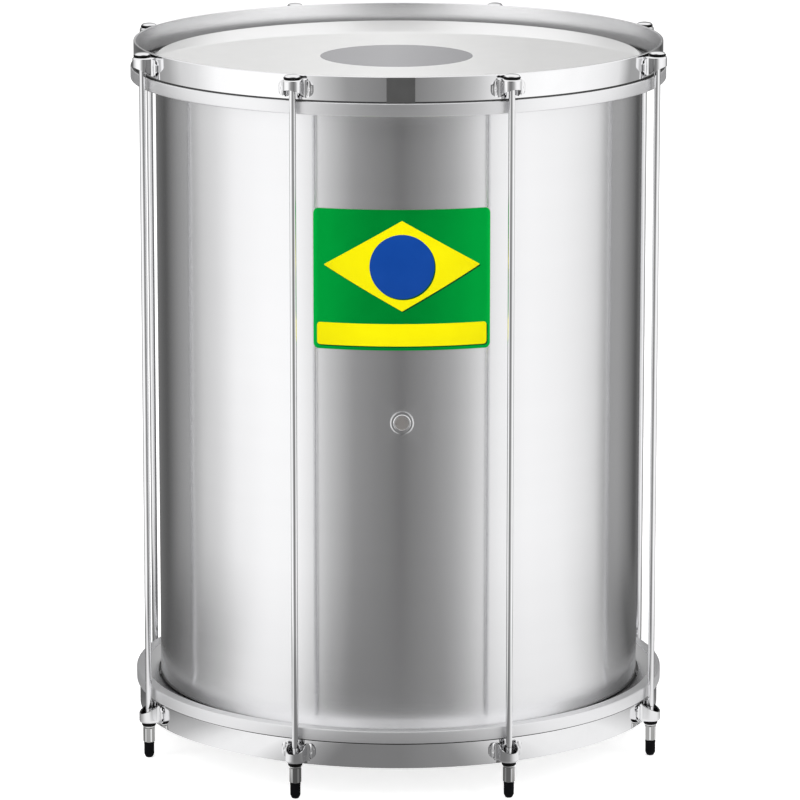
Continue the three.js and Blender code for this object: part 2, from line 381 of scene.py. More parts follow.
def crease_shade_mask(tree):
    """Painted shade in the joint between a channel and its hoop, and on the lower channel's last edge.
    """
    height = position(tree)["Z"]
    upper = maths(tree, "MULTIPLY", step_up(tree, height, *JOINT_SHADE_FADE),
                  step_up(tree, from_axis(tree), *JOINT_SHADE_REACH))
    return maths(tree, "MAXIMUM", upper, step_up(tree, height, *LAST_EDGE_SHADE_FADE))


def corner_highlight_mask(tree):
    """A painted highlight on the corners and the collar of a nut."""
    return step_up(tree, from_axis(tree), *CORNER_HIGHLIGHT_FADE)


def pocket_shade_mask(tree):
    """Painted shade on the inside of a lug's cup, in the lug's own frame."""
    split = position(tree)
    off = maths(tree, "SUBTRACT", split["X"], ROD_CIRCLE * MM)
    square = maths(tree, "ADD", maths(tree, "MULTIPLY", off, off),
                   maths(tree, "MULTIPLY", split["Y"], split["Y"]))
    near = step_up(tree, maths(tree, "SQRT", square), *POCKET_SHADE_REACH)
    return maths(tree, "MULTIPLY", near, step_up(tree, split["Z"], *POCKET_SHADE_TOP))


def grey(level, blue=0.0):
    """A grey, with blue added where it is a cold one and taken where it is a warm one."""
    return (level, level, level + blue)


DULL = {"Specular IOR Level": 0.05}
FOIL = {"Specular IOR Level": 0.05, "Metallic": 0.75}
MILKY = {"Subsurface Weight": 0.35, "Subsurface Scale": 0.004, "Subsurface Radius": (1, 1, 1),
         "IOR": 1.6}
FILM_TEXTURE = {"fine": 900, "depth": 0.002}
BADGE_TEXTURE = {"fine": 700, "depth": 0.02}
COLD = 0.01


def film(name):
    return plastic(name, grey(0.87, -0.005), grey(0.91, -0.005), rough=(0.0, 0.02),
                   **FILM_TEXTURE, **MILKY)


FINISHES = {
    # The shell's ends inside the channels are painted near black as shade.
    "shell": recolour(roughen(
        brushed("brushed_shell", grey(0.84, COLD), grey(0.90, COLD), rough=(0.2, 0.24),
                anisotropic=1.0), bare_mask, 0.7), gap_shade_mask, grey(0.02)),
    # Painted shade: the upper channel darkens in its joint with the hoop, and the lower channel on its
    # last edge.
    "channel": recolour(
        brushed("satin_channel", grey(0.88, COLD), grey(0.94, COLD), rough=(0.38, 0.46),
                anisotropic=0.0), crease_shade_mask, grey(0.05)),
    # The lower channel is rougher than the upper one, and its colour a little lighter as painted
    # light.
    "low_channel": recolour(roughen(
        brushed("dull_channel", grey(0.90, COLD), grey(0.96, COLD), rough=(0.50, 0.58),
                anisotropic=0.0), lip_mask, 0.15), crease_shade_mask, grey(0.05)),
    "chrome": chromed("chrome", grey(0.84, COLD), grey(0.92, COLD), rough=(0.03, 0.06)),
    "hoop": roughen(
        chromed("hoop_chrome", grey(0.90, COLD), grey(0.95, COLD), rough=(0.03, 0.06)),
        bore_mask, 0.27),
    # The inside of each lug's cup is painted dark as shade.
    "lug": recolour(
        chromed("lug_chrome", grey(0.84, COLD), grey(0.92, COLD), rough=(0.02, 0.05)),
        pocket_shade_mask, grey(0.12)),
    # The nut is a dark grey, with a painted highlight on its corners and collar.
    "nickel": recolour(
        chromed("nickel_nut", grey(0.34, -0.005), grey(0.44, -0.005), rough=(0.08, 0.14)),
        corner_highlight_mask, grey(0.85)),
    # The lap plate's chrome is far darker than the hoop's: painted shade, standing in for the dark it
    # reflects.
    "lap": chromed("lap_plate", grey(0.34), grey(0.40), rough=(0.28, 0.34)),
    # The batter film's collar is painted dark as shade.
    "film": recolour(film("head_film"), collar_shade_mask, grey(0.14)),
    # The resonant film's collar beside the shell is painted near black as shade.
    "under_film": recolour(film("lower_film"), rim_shade_mask, grey(0.02)),
    "print": plastic("head_ink", grey(0.19, 0.015), grey(0.22, 0.015), rough=(0.05, 0.09),
                     fine=1500, depth=0.002),
    "green": plastic("badge_green", (0.0, 0.44, 0.055), (0.0, 0.48, 0.065), rough=(0.3, 0.4),
                     **BADGE_TEXTURE, **FOIL),
    "yellow": plastic("badge_yellow", (0.93, 0.82, 0.0), (0.98, 0.90, 0.0), rough=(0.3, 0.4),
                      **BADGE_TEXTURE, **DULL),
    "blue": plastic("badge_blue", (0.004, 0.055, 0.31), (0.007, 0.07, 0.37), rough=(0.3, 0.4),
                    **BADGE_TEXTURE, **DULL),
    "shade": plastic("badge_shade", (0.0, 0.07, 0.012), (0.0, 0.09, 0.016), rough=(0.4, 0.5),
                     **BADGE_TEXTURE, **DULL),
    "washer": plastic("black_washer", grey(0.003), grey(0.008), rough=(0.3, 0.5), fine=2500,
                      depth=0.03, **DULL),
    "rubber": plastic("black_rubber", grey(0.002, 0.001), grey(0.006, 0.001), rough=(0.5, 0.7),
                      fine=2200, depth=0.08, **DULL),
}


# Shell, with a round hole for the vent

VENT_HALF = 4            # columns of the shell's mesh on each side of the vent
VENT_PATCH = VENT_HALF * tau * SHELL / RING_SIDES
VENT_HOLE = 7.3
FLANGE = 9.0
FLANGE_DIP = 3.0
WALL_TOLERANCE = 0.3     # how far a face's middle may lie from its wall's radius


def shell_profile():
    upper = [
        (SHELL, CREST_TOP - EDGE_CHAMFER, 1.2),
        (CREST, CREST_TOP, 1.2),
        (CREST - FLANGE, CREST_TOP - FLANGE_DIP, 0.5),
        (CREST - FLANGE, CREST_TOP - FLANGE_DIP - SHELL_WALL, 0.5),
        (SHELL - SHELL_WALL, CREST_TOP - EDGE_CHAMFER - SHELL_WALL, 0.8),
    ]
    other = [(r, -z, radius) for r, z, radius in reversed(upper)]
    edge = rounded(upper + other, 3)
    rows = [VENT_PATCH * i / VENT_HALF for i in range(-VENT_HALF, VENT_HALF + 1)]
    half = len(edge) // 2
    inside = [(SHELL - SHELL_WALL, z) for z in reversed(rows)]
    outside = [(SHELL, z) for z in rows]
    return edge[:half] + inside + edge[half:] + outside


def near_vent(point):
    across = abs(atan2(point.x, -point.y)) * SHELL
    margin = VENT_PATCH / VENT_HALF / 4
    return across < VENT_PATCH + margin and abs(point.z) < VENT_PATCH + margin


def shell_mesh():
    """A lathe form whose square patches at the vent are swapped for ones with a round hole."""
    bm = bmesh.new()
    turn(bm, shell_profile(), RING_SIDES)
    patch = [f for f in bm.faces if all(near_vent(v.co) for v in f.verts)]
    walls = {}
    for radius in (SHELL, SHELL - SHELL_WALL):
        faces = [f for f in patch if abs(f.calc_center_median().xy.length - radius) < WALL_TOLERANCE]
        rim = {v for f in faces for e in f.edges if sum(g in faces for g in e.link_faces) == 1
               for v in e.verts}
        walls[radius] = sorted(rim, key=lambda v: atan2(v.co.z, v.co.x))
    bmesh.ops.delete(bm, geom=patch, context="FACES")
    loose = [v for v in bm.verts if not v.link_faces]
    bmesh.ops.delete(bm, geom=loose, context="VERTS")
    circles = []
    for radius, rim in walls.items():
        turns = [atan2(v.co.z, v.co.x) for v in rim]
        circle = []
        for a in turns:
            x, z = VENT_HOLE * cos(a), VENT_HOLE * sin(a)
            circle.append(bm.verts.new((x, -sqrt(radius ** 2 - x ** 2), z)))
        circles.append(circle)
        join_rings(bm, [rim, circle])
    join_rings(bm, circles)
    return mesh_of("shell_body", bm)


# Vent eyelet; heights run outward from the shell's outer face

VENT_CORNERS = [
    (6.4, -3.2, 0.3), (9.4, -3.2, 0.4), (9.4, -2.25, 0.4), (7.0, -2.2, 0.0),
    (7.0, 0.35, 0.0), (10.95, 0.32, 0.1), (10.95, 0.95, 0.3), (10.55, 1.5, 0.35),
    (9.8, 0.95, 0.5), (8.0, 0.95, 0.4), (7.4, 1.55, 0.3), (6.4, 1.5, 0.4),
]


def vent_mesh():
    mesh = turned("vent_ring", rounded(VENT_CORNERS, 4), SMALL_SIDES * 2)
    mesh.transform(Matrix.Translation((0, -SHELL * MM, 0)) @ Matrix.Rotation(pi / 2, 4, "X"))
    return mesh


# Badge: a plate curved to the shell, with raised fields

BADGE_BASE = SHELL + CLEARANCE
BADGE_FACE = BADGE_BASE + 0.55
BADGE_BEVEL, FIELD_BEVEL, SHADE_BEVEL = 0.25, 0.06, 0.01
BADGE_WIDTH, BADGE_HEIGHT, BADGE_LIFT, BADGE_CORNER = 164.0, 129.4, 132.0, 5.0
RHOMBUS_WIDTH, RHOMBUS_HEIGHT, RHOMBUS_LIFT = 144.2, 83.2, 145.1
DISC_DIAMETER, DISC_LIFT, DISC_SIDES = 59.0, 144.5, 96
STRIP_WIDTH, STRIP_HEIGHT, STRIP_LIFT, STRIP_CORNER = 157.0, 20.6, 81.5, 3.0
RAISED = 0.12
SUNK = 0.05
SHADE_SHIFT = 1.1
SHADE_FILM = 0.03
SLICE = 2.5


def rectangle(width, height, lift, corner):
    w, h = width / 2, height / 2
    corners = [(-w, lift - h), (w, lift - h), (w, lift + h), (-w, lift + h)]
    return rounded([(x, y, corner) for x, y in corners], 6)


def curved_plate(name, outline, inner, outer, bevel):
    """A plate cut to an outline of (distance round the front, height), bent to a radius."""
    bm = bmesh.new()
    base = bm.faces.new([bm.verts.new((x, y, 0)) for x, y in outline])
    top = bmesh.ops.extrude_face_region(bm, geom=[base])["geom"]
    for v in (g for g in top if isinstance(g, bmesh.types.BMVert)):
        v.co.z = outer - inner
    rim = [e for e in bm.edges if all(v.co.z > 0 for v in e.verts)]
    bmesh.ops.bevel(bm, geom=rim, offset=bevel, segments=2, profile=0.6, affect="EDGES")
    reach = max(abs(x) for x, _ in outline)
    cuts = ceil(2 * reach / SLICE)
    for i in range(1, cuts):
        x = -reach + 2 * reach * i / cuts
        geom = bm.verts[:] + bm.edges[:] + bm.faces[:]
        bmesh.ops.bisect_plane(bm, geom=geom, dist=1e-4, plane_co=(x, 0, 0), plane_no=(1, 0, 0))
    for v in bm.verts:
        angle = v.co.x / outer
        radius = inner + v.co.z
        v.co = (radius * sin(angle), -radius * cos(angle), v.co.y)
    return mesh_of(name, bm)


def badge():
    rhombus_w, rhombus_h = RHOMBUS_WIDTH / 2, RHOMBUS_HEIGHT / 2
    rhombus = rounded([
        (-rhombus_w, RHOMBUS_LIFT, 0.6), (0, RHOMBUS_LIFT - rhombus_h, 0.8),
        (rhombus_w, RHOMBUS_LIFT, 0.6), (0, RHOMBUS_LIFT + rhombus_h, 0.8),
    ], 3)
    turns = [tau * i / DISC_SIDES for i in range(DISC_SIDES)]
    half = DISC_DIAMETER / 2
    disc = [(half * cos(a), DISC_LIFT + half * sin(a)) for a in turns]
    plate = rectangle(BADGE_WIDTH, BADGE_HEIGHT, BADGE_LIFT, BADGE_CORNER)
    strip = rectangle(STRIP_WIDTH, STRIP_HEIGHT, STRIP_LIFT, STRIP_CORNER)
    mesh = curved_plate("badge_field", plate, BADGE_BASE, BADGE_FACE, BADGE_BEVEL)
    piece("badge_field", mesh, FINISHES["green"], "drum", "badge_plate")
    fields = [
        ("rhombus", rhombus, BADGE_FACE, "yellow", "badge_yellow"),
        ("strip", strip, BADGE_FACE, "yellow", "badge_yellow"),
        ("disc", disc, BADGE_FACE + RAISED, "blue", "badge_blue"),
    ]
    for name, outline, face, look, slot in fields:
        # Under each field lies a dark green layer shifted down and to the right: a painted shadow of
        # the raised field.
        shade = [(x + SHADE_SHIFT, y - SHADE_SHIFT) for x, y in outline]
        mesh = curved_plate(f"badge_{name}_shade", shade, face - SUNK, face + SHADE_FILM,
                            SHADE_BEVEL)
        piece(f"badge_{name}_shade", mesh, FINISHES["shade"], "drum")
        mesh = curved_plate(f"badge_{name}", outline, face - SUNK, face + RAISED, FIELD_BEVEL)
        piece(f"badge_{name}", mesh, FINISHES[look], "drum")


# Heads: the film, its collar and the bead that the channel ring holds

PRINT_RADIUS = 71.5
PRINT_THICKNESS = 0.05
PRINT_SHIFT = (-2.0, -13.0)
BEAD_GAP = 1.8           # between the bead and the channel's base or top
BEAD_STEP = 0.4
FLAT_MARGIN = 3.0


def head_profile():
    film_thickness = FILM_TOP - FILM_UNDER
    edge = CREST_TOP - EDGE_CHAMFER + CLEARANCE
    corners = [
        (CREST + CLEARANCE, FILM_UNDER, 1.2),
        (SHELL + CLEARANCE, edge, 1.2),
        (BEAD_INNER, CHANNEL_TOP - film_thickness, 0.4),
        (BEAD_INNER, CHANNEL_BASE + BEAD_GAP, 0.5),
        (BEAD_OUTER, CHANNEL_BASE + BEAD_GAP, 1.0),
        (BEAD_OUTER, CHANNEL_TOP - BEAD_GAP, 1.0),
        (BEAD_INNER + 2 * BEAD_STEP, CHANNEL_TOP - BEAD_GAP, 0.2),
        (BEAD_INNER + BEAD_STEP, CHANNEL_TOP, 0.3),
        (SHELL + CLEARANCE + film_thickness, edge + film_thickness, 1.6),
        (CREST + CLEARANCE, FILM_TOP, 1.6),
    ]
    flat = CREST - FLAT_MARGIN
    return rounded([(0, FILM_UNDER, 0), (flat, FILM_UNDER, 0), *corners, (flat, FILM_TOP, 0),
                    (0, FILM_TOP, 0)])


def print_profile():
    base, top = FILM_TOP, FILM_TOP + PRINT_THICKNESS
    return [(0, base), (PRINT_RADIUS, base), (PRINT_RADIUS - 0.1, top),
            (PRINT_RADIUS - 0.5, top), (0, top)]


# Rings

CHANNEL_WALL = 1.5
CHANNEL_CURL = 5.9       # reach of the flange that holds the bead down
INNER_DROP = 2.0         # the inner side ends this far below the top
LIP_INNER = 231.0
LIP_DROP = 5.2
LIP_THICKNESS = 1.1


def channel_profile():
    """The channel, with a flange that slopes in towards the shell."""
    return rounded([
        (LIP_INNER, CHANNEL_BASE + LIP_DROP, 0.4),
        (CHANNEL_INNER + 0.5, CHANNEL_BASE, 1.5),
        (CHANNEL_OUTER, CHANNEL_BASE, 1.3),
        (CHANNEL_OUTER, CHANNEL_TOP, 1.1),
        (CHANNEL_OUTER - CHANNEL_CURL, CHANNEL_TOP, 0.5),
        (CHANNEL_OUTER - CHANNEL_CURL, CHANNEL_TOP - CHANNEL_WALL, 0.5),
        (CHANNEL_OUTER - CHANNEL_WALL, CHANNEL_TOP - CHANNEL_WALL, 0.4),
        (CHANNEL_OUTER - CHANNEL_WALL, CHANNEL_BASE + CHANNEL_WALL, 0.4),
        (CHANNEL_INNER + CHANNEL_WALL, CHANNEL_BASE + CHANNEL_WALL, 0.4),
        (CHANNEL_INNER + CHANNEL_WALL, CHANNEL_TOP - INNER_DROP, 0.6),
        (CHANNEL_INNER, CHANNEL_TOP - INNER_DROP, 0.6),
        (CHANNEL_INNER, CHANNEL_BASE + 1.9, 0.5),
        (LIP_INNER, CHANNEL_BASE + LIP_DROP + LIP_THICKNESS, 0.4),
    ], 4)


def hoop_profile():
    return rounded([
        (HOOP_INNER, HOOP_BASE, 0.9),
        (HOOP_OUTER, HOOP_BASE, 0.9),
        (HOOP_OUTER, HOOP_TOP, 0.75),
        (HOOP_INNER, HOOP_TOP, 0.75),
    ])


LAP_WIDTH, LAP_HEIGHT, LAP_SHIFT, LAP_OUTER = 26.0, 22.6, -1.3, HOOP_OUTER + 1.0
LAP_CORNER, LAP_ROOT, LAP_BEVEL = 0.6, 0.9, 0.12


def lap_mesh():
    """The flat overlap where the ends of the upper counterhoop are joined."""
    middle = (HOOP_BASE + HOOP_TOP) / 2
    outline = rectangle(LAP_WIDTH, LAP_HEIGHT, middle, LAP_CORNER)
    bm = bmesh.new()
    points = [(x + LAP_SHIFT, -HOOP_OUTER + LAP_ROOT, y) for x, y in outline]
    base = bm.faces.new([bm.verts.new(point) for point in points])
    front = bmesh.ops.extrude_face_region(bm, geom=[base])["geom"]
    for v in (g for g in front if isinstance(g, bmesh.types.BMVert)):
        v.co.y = -LAP_OUTER
    rim = [e for e in bm.edges if all(v.co.y < -HOOP_OUTER for v in e.verts)]
    bmesh.ops.bevel(bm, geom=rim, offset=LAP_BEVEL, segments=2, profile=0.5, affect="EDGES")
    return mesh_of("counterhoop_lap", bm, sharp=10)


# Lug: one drawn sheet with a closed cup for the rod and a rounded ear on each side

LUG_RADIUS = 9.0
LUG_WALL = 1.5
LUG_SEAT = HOOP_OUTER + CLEARANCE
LUG_FRONT = 9.0
EAR_REACH = 16.5
EAR_CORNER = 6.0
EAR_SWELL = 1.1
WELD_RADIUS = 1.3
WELD_DEPTH = 0.5
FOLD = 2.0
SHOULDER = 2.0
LUG_ROWS = 14
SHOULDER_ROWS = 6
SHOULDER_CAP = 1.25      # how far in the last row of the shoulder lies, by the shoulder
EAR_STEPS, FOLD_STEPS, SIDE_STEPS, CUP_STEPS = 12, 6, 4, 16
PILLOW_SHIFT = 0.4
PILLOW_ACROSS, PILLOW_ALONG = 2.9, 7.2
WELD_STRETCH = 1.6
LUG_EDGE = 0.4


def lug_plan():
    """Half of the cup's outer face from above: points (x, y), and each one's inward direction."""
    face = LUG_SEAT + LUG_WALL
    ear_end = EAR_REACH - EAR_CORNER
    ear = [ear_end + EAR_CORNER * cos(pi / 2 * k / EAR_STEPS) for k in range(EAR_STEPS + 1)]
    ear = [y for y in ear if y > LUG_RADIUS + FOLD]
    plan = [((sqrt(face ** 2 - y ** 2), y), None) for y in ear]
    fold_x = sqrt(face ** 2 - (LUG_RADIUS + FOLD) ** 2) + FOLD
    fold_y = LUG_RADIUS + FOLD
    for k in range(FOLD_STEPS + 1):
        a = pi + pi / 2 * k / FOLD_STEPS
        toward = (cos(a), sin(a))
        plan.append(((fold_x + FOLD * cos(a), fold_y + FOLD * sin(a)), toward))
    side = [fold_x + (ROD_CIRCLE - fold_x) * k / SIDE_STEPS for k in range(1, SIDE_STEPS)]
    plan += [((x, LUG_RADIUS), (0, -1)) for x in side]
    for k in range(CUP_STEPS + 1):
        a = pi / 2 * (1 - k / CUP_STEPS)
        point = (ROD_CIRCLE + LUG_RADIUS * cos(a), LUG_RADIUS * sin(a))
        plan.append((point, (-cos(a), -sin(a))))
    return plan, ear_end


def lug_mesh():
    face = LUG_SEAT + LUG_WALL
    half, ear_end = lug_plan()
    mirrored = [((x, -y), inward and (inward[0], -inward[1])) for (x, y), inward in half[-2::-1]]
    plan = half + mirrored
    slope = (LUG_TOP - LUG_FRONT - EAR_BOTTOM) / (ROD_CIRCLE + LUG_RADIUS - face)
    bm = bmesh.new()
    columns = []
    for (x, y), inward in plan:
        past = max(0.0, abs(y) - ear_end) if inward is None else 0.0
        cut = EAR_CORNER - sqrt(max(0.0, EAR_CORNER ** 2 - past ** 2))
        top = LUG_TOP - SHOULDER if inward else EAR_TOP - cut
        bottom = EAR_BOTTOM + slope * max(0.0, x - face) + cut
        column = []
        for k in range(LUG_ROWS + 1):
            z = bottom + (top - bottom) * k / LUG_ROWS
            out = ear_swell(y, z) if inward is None else 0.0
            column.append(bm.verts.new((x + out, y, z)))
        if inward:
            for k in range(1, SHOULDER_ROWS + 1):
                a = pi / 2 * k / SHOULDER_ROWS
                column.append(shoulder_vertex(bm, x, y, inward, 1 - cos(a), sin(a)))
            column.append(shoulder_vertex(bm, x, y, inward, SHOULDER_CAP, 1.0))
        columns.append(column)
    for one, two in zip(columns, columns[1:]):
        for k in range(min(len(one), len(two)) - 1):
            bm.faces.new((one[k], two[k], two[k + 1], one[k + 1]))
    capped = [column[-1] for column, (_, inward) in zip(columns, plan) if inward]
    while len(capped) > 3:
        bm.faces.new((capped[0], capped[1], capped[-2], capped[-1]))
        capped = capped[1:-1]
    bm.faces.new(capped)
    return thickened("lug", bm)


def shoulder_vertex(bm, x, y, inward, share, rise):
    """A vertex on the rounded top of the cup, by its shares of the way in and up."""
    offset = SHOULDER * share
    height = LUG_TOP - SHOULDER + SHOULDER * rise
    return bm.verts.new((x + inward[0] * offset, y + inward[1] * offset, height))


def ear_swell(y, z):
    """How far the ear's face stands out: a soft pillow with a spot weld pressed into it."""
    across = abs(y) - (LUG_RADIUS + FOLD + EAR_REACH) / 2 + PILLOW_SHIFT
    along = z - (EAR_TOP + EAR_BOTTOM) / 2
    pillow = max(0.0, 1 - (across / PILLOW_ACROSS) ** 2 - (along / PILLOW_ALONG) ** 2)
    weld = max(0.0, 1 - (across ** 2 + (along / WELD_STRETCH) ** 2) / WELD_RADIUS ** 2)
    return EAR_SWELL * sqrt(pillow) - WELD_DEPTH * weld ** 2


def thickened(name, bm):
    """Gives a sheet its wall thickness and rounds its cut edges."""
    bmesh.ops.recalc_face_normals(bm, faces=bm.faces)
    cap = max(bm.faces, key=lambda f: f.calc_center_median().z)
    if cap.normal.z < 0:
        bmesh.ops.reverse_faces(bm, faces=bm.faces)
    sheet = bpy.data.meshes.new("sheet")
    bm.to_mesh(sheet)
    bm.free()
    carrier = bpy.data.objects.new("sheet", sheet)
    bpy.context.scene.collection.objects.link(carrier)
    wall = carrier.modifiers.new("wall", "SOLIDIFY")
    wall.thickness = LUG_WALL
    wall.offset = -1
    wall.use_even_offset = True
    edge = carrier.modifiers.new("edge", "BEVEL")
    edge.width = LUG_EDGE
    edge.segments = 3
    edge.limit_method = "ANGLE"
    edge.angle_limit = radians(50)
    solid = bmesh.new()
    solid.from_object(carrier, bpy.context.evaluated_depsgraph_get())
    bpy.data.objects.remove(carrier)
    bpy.data.meshes.remove(sheet)
    return mesh_of(name, solid)


# Rod: domed head, square neck, plain shaft, and a thread at the lower end

ROD_RADIUS = 3.0
THREAD_START = -303.0
THREAD_PITCH = 1.0
THREAD_DEPTH = 0.55
THREAD_ROWS = 6
ROD_SIDES = 32
HEAD_RADIUS = 7.15
HEAD_HEIGHT = 2.5
HEAD_EDGE = 0.7
HEAD_ROWS = 8
HEAD_RIM = [(7.15, 0.35), (7.05, 0.1), (6.8, 0.0)]        # radius, and height above its base
ROD_POINT = [(2.5, 0.3), (2.2, 0.0)]                      # radius, and height above its end
NECK_HALF = 3.0
NECK_LENGTH = 4.0
NECK_TAPER = 0.6
NECK_CORNER_SHARE = 1.35
PLAIN_HEIGHTS = [150.0, 0.0, -150.0]
THREAD_MARGIN = 0.6
GROOVE_STEEPNESS, CREST_SHARE = 1.3, 0.12


def ring_of(bm, height, radius_at, sides):
    angles = [tau * (i + 0.5) / sides for i in range(sides)]
    return [bm.verts.new((radius_at(a) * cos(a), radius_at(a) * sin(a), height)) for a in angles]


def square_radius(angle):
    return min(NECK_HALF / max(abs(cos(angle)), abs(sin(angle))),
               NECK_HALF * NECK_CORNER_SHARE)


def rod_mesh():
    bm = bmesh.new()

    def ring(radius, height):
        return ring_of(bm, height, lambda _: radius, ROD_SIDES)

    rings = [[bm.verts.new((0, 0, HEAD_BASE + HEAD_HEIGHT))]]
    bulge = HEAD_HEIGHT - HEAD_EDGE
    for k in range(1, HEAD_ROWS + 1):
        a = pi / 2 * k / HEAD_ROWS
        rings.append(ring(HEAD_RADIUS * sin(a), HEAD_BASE + HEAD_EDGE + bulge * cos(a)))
    rings += [ring(radius, HEAD_BASE + height) for radius, height in HEAD_RIM]
    for height in (0.0, -NECK_LENGTH + NECK_TAPER):
        rings.append(ring_of(bm, HEAD_BASE + height, square_radius, ROD_SIDES))
    plain = [HEAD_BASE - NECK_LENGTH, *PLAIN_HEIGHTS, THREAD_START]
    rings += [ring(ROD_RADIUS, z) for z in plain]
    step = THREAD_PITCH / THREAD_ROWS
    rows = int((ROD_END + THREAD_START - THREAD_MARGIN) / step)
    for k in range(1, rows + 1):
        z = THREAD_START - k * step
        fade = min(1.0, k / (2 * THREAD_ROWS), (rows - k) / THREAD_ROWS + 0.4)
        rings.append(ring_of(bm, z, lambda a: thread_radius(a, z, fade), ROD_SIDES))
    rings += [ring(radius, height - ROD_END) for radius, height in ROD_POINT]
    rings.append([bm.verts.new((0, 0, -ROD_END))])
    join_rings(bm, rings)
    return mesh_of("rod", bm, sharp=48)


def thread_radius(angle, height, fade):
    """The thread's radius; fade is the share of its full depth."""
    phase = (height / THREAD_PITCH - angle / tau) % 1.0
    groove = 1 - abs(2 * phase - 1)
    groove = min(1.0, max(0.0, groove * GROOVE_STEEPNESS - CREST_SHARE))
    return ROD_RADIUS - THREAD_DEPTH * fade * groove


# Washers, nut and tip

WASHER_BORE = 3.3
BORE_EDGE = 0.2
HEAD_WASHER = {"radius": 7.9, "thickness": 1.5, "edge": 0.5}
FOOT_WASHER = {"radius": 6.65, "thickness": 2.7, "edge": 0.9}


def washer_mesh(name, radius, thickness, edge):
    corners = [
        (WASHER_BORE, 0, BORE_EDGE), (radius, 0, edge), (radius, thickness, edge),
        (WASHER_BORE, thickness, BORE_EDGE),
    ]
    return turned(name, rounded(corners), SMALL_SIDES)


NUT_HALF = 5.0
NUT_CORNER = 5.6
NUT_FACE = 4.7
NUT_COLLAR = 5.75
NUT_NECK = 1.5
NUT_SIDES = 96
NUT_SLOPE = tan(radians(43))
NUT_BORE = 3.15
NUT_BEVEL = 0.4
COLLAR_EASE = 0.25
COLLAR_LENGTH = 1.1
GROOVE_TOP = 1.2
NUT_TURNS = [30, 16, -11, 25, 4, -20, 2, 22]


def nut_radius(angle):
    """Distance to the hexagon's side, with the corners eased."""
    turned_by = (angle + pi / 6) % (pi / 3) - pi / 6
    return min(NUT_HALF / cos(turned_by), NUT_CORNER)


def nut_mesh():
    """A long hex nut with a turned collar and chamfers. Its top is at height 0."""
    bm = bmesh.new()
    height = TIP_BASE - NUT_BASE - CLEARANCE

    def chamfer(angle):
        return max(0.0, nut_radius(angle) - NUT_FACE) * NUT_SLOPE

    angles = [tau * i / NUT_SIDES for i in range(NUT_SIDES)]

    def ring(radius_at, height_at):
        return [bm.verts.new((radius_at(a) * cos(a), radius_at(a) * sin(a), height_at(a)))
                for a in angles]

    def level(radius, height):
        return ring(lambda _: radius, lambda _: height)

    rings = [
        level(NUT_BORE, -NUT_BEVEL),
        level(NUT_BORE + NUT_BEVEL, 0.0),
        level(NUT_COLLAR - COLLAR_EASE, 0.0),
        level(NUT_COLLAR, -COLLAR_EASE),
        level(NUT_COLLAR, COLLAR_EASE - COLLAR_LENGTH),
        level(NUT_COLLAR - COLLAR_EASE, -COLLAR_LENGTH),
        level(NUT_FACE, -GROOVE_TOP),
        level(NUT_FACE, -NUT_NECK),
        ring(nut_radius, lambda a: -NUT_NECK - chamfer(a)),
        ring(nut_radius, lambda a: chamfer(a) - height),
        level(NUT_FACE, -height),
        level(NUT_BORE + NUT_BEVEL, -height),
        level(NUT_BORE, NUT_BEVEL - height),
    ]
    join_rings(bm, rings + rings[:1])
    return mesh_of("hex_nut", bm, sharp=20)


TIP_LENGTH = MIDDLE - TIP_BASE
TIP_CORNERS = [
    (0, 4.0, 0), (3.0, 4.0, 0.3), (3.0, 0, 0), (4.9, 0, 0.4), (4.9, -1.6, 0.2),
    (4.75, -1.9, 0.2), (4.75, -TIP_LENGTH + 3.2, 2.2), (3.1, -TIP_LENGTH, 1.4),
    (0, -TIP_LENGTH, 0),
]


def tip_mesh():
    """A rubber tip with a ridge below the nut and a plug in it. Height 0 is at the nut's end."""
    return turned("rubber_tip", rounded(TIP_CORNERS, 6), SMALL_SIDES, loop=False)


# Building the drum

def spoke_angle(i):
    return -pi / 2 + tau * (i + 0.5) / SPOKES


def shift(height):
    return Matrix.Translation((0, 0, height * MM))


